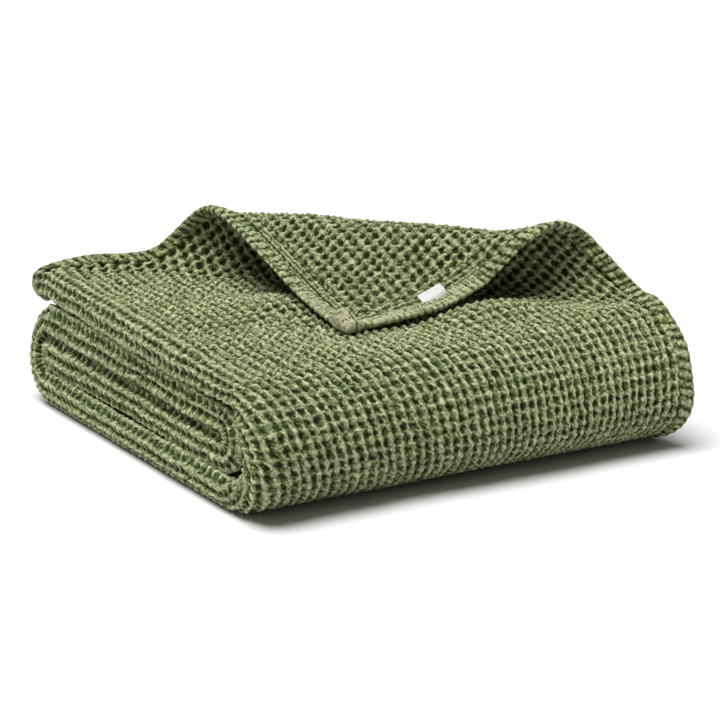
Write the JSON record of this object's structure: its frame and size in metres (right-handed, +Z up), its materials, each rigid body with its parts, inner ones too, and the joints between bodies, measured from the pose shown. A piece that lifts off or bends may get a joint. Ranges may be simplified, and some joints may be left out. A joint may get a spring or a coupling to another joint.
{
  "type": "waffle weave cotton blanket",
  "caption": "Sage green waffle weave cotton blanket, folded into a soft flat bundle, with the corner of its top ply turned back to show the hem and the reverse.",
  "frame": {"origin": "middle of the bundle's box on the surface it lies on", "axes": "+Z up; X along the long front of the bundle, with the folded edges of the strip at -X; the long front faces -Y"},
  "size_m": [0.442, 0.4792, 0.1898],
  "materials": {
    "blanket_cotton": "soft matt waffle weave cotton",
    "label_tape": "smooth white woven tape, bare"
  },
  "bodies": {
    "root": {"blanket": "blanket_cotton", "label": "label_tape"}
  },
  "joints": []
}
